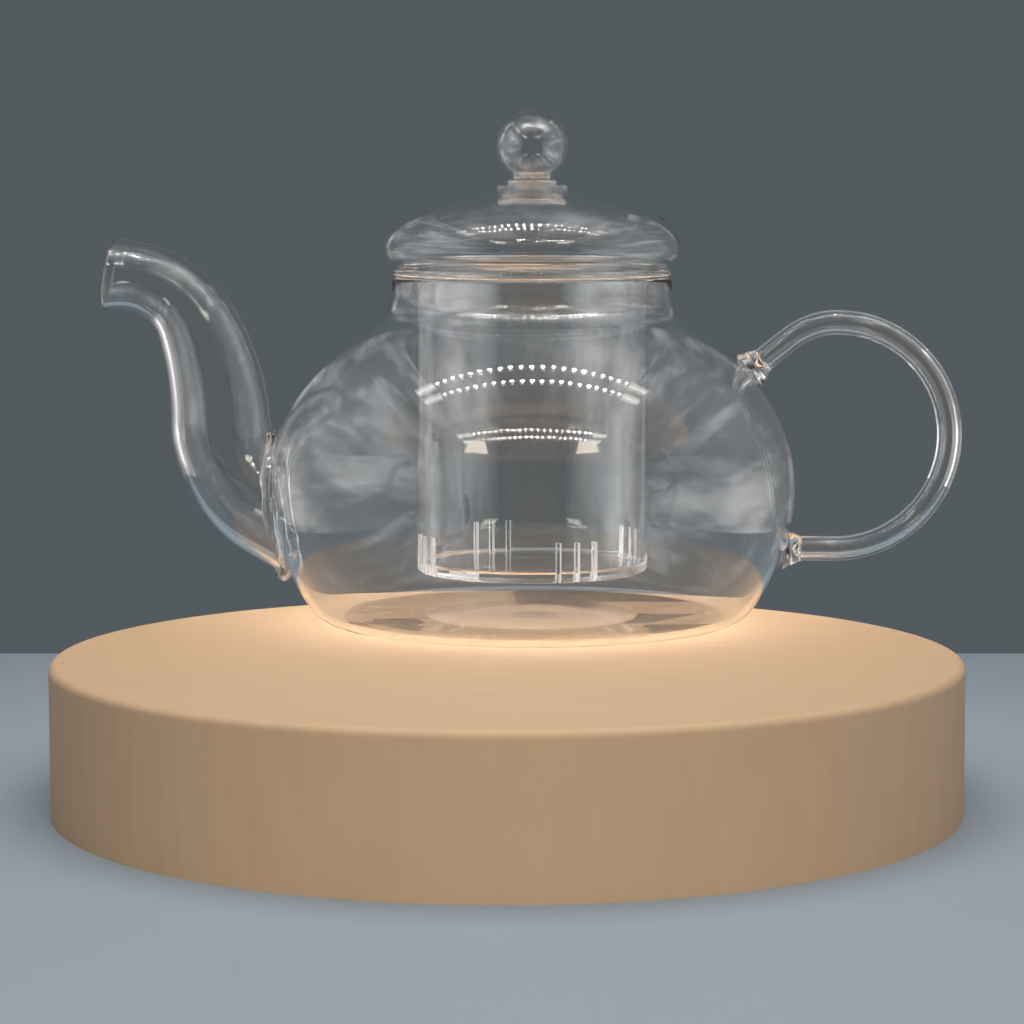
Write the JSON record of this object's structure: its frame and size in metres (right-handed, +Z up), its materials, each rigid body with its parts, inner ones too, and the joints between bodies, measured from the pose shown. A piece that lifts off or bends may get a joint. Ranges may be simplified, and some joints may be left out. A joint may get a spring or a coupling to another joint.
{
  "type": "glass teapot",
  "caption": "Squat clear glass teapot with a lift-out glass infuser tube, a domed lid with a ball knob, a curved spout and an open ear handle of thick tube.",
  "frame": {"origin": "centre of the flat base, on the surface the teapot stands on", "axes": "+Z up along the axis of the bowl, infuser and lid; +X towards the handle, -X towards the spout; +Y away from the viewer who has the spout on the left"},
  "size_m": [0.2261, 0.14, 0.1348],
  "materials": {
    "pot_glass": "clear fire-polished",
    "fused_glass": "clear, rippled where fused",
    "infuser_glass": "clear with ground slits",
    "flange_glass": "clear, thick edge",
    "lid_glass": "clear fire-polished"
  },
  "bodies": {
    "pot": {"bowl": "pot_glass", "spout": "pot_glass", "spout_weld": "fused_glass", "handle": "pot_glass", "handle_upper_weld": "fused_glass", "handle_lower_weld": "fused_glass"},
    "infuser": {"infuser_tube": "infuser_glass", "infuser_flange": "flange_glass", "infuser_base": "infuser_glass"},
    "lid": {"lid_dome": "lid_glass", "lid_collar": "lid_glass", "lid_stem": "fused_glass", "lid_knob": "lid_glass"}
  },
  "joints": [
    {"name": "infuser_lift", "type": "slide", "parent": "pot", "child": "infuser", "axis": [0, 0, 1], "range_m": [0, 0.1]},
    {"name": "lid_lift", "type": "slide", "parent": "infuser", "child": "lid", "axis": [0, 0, 1], "range_m": [0, 0.06]}
  ]
}
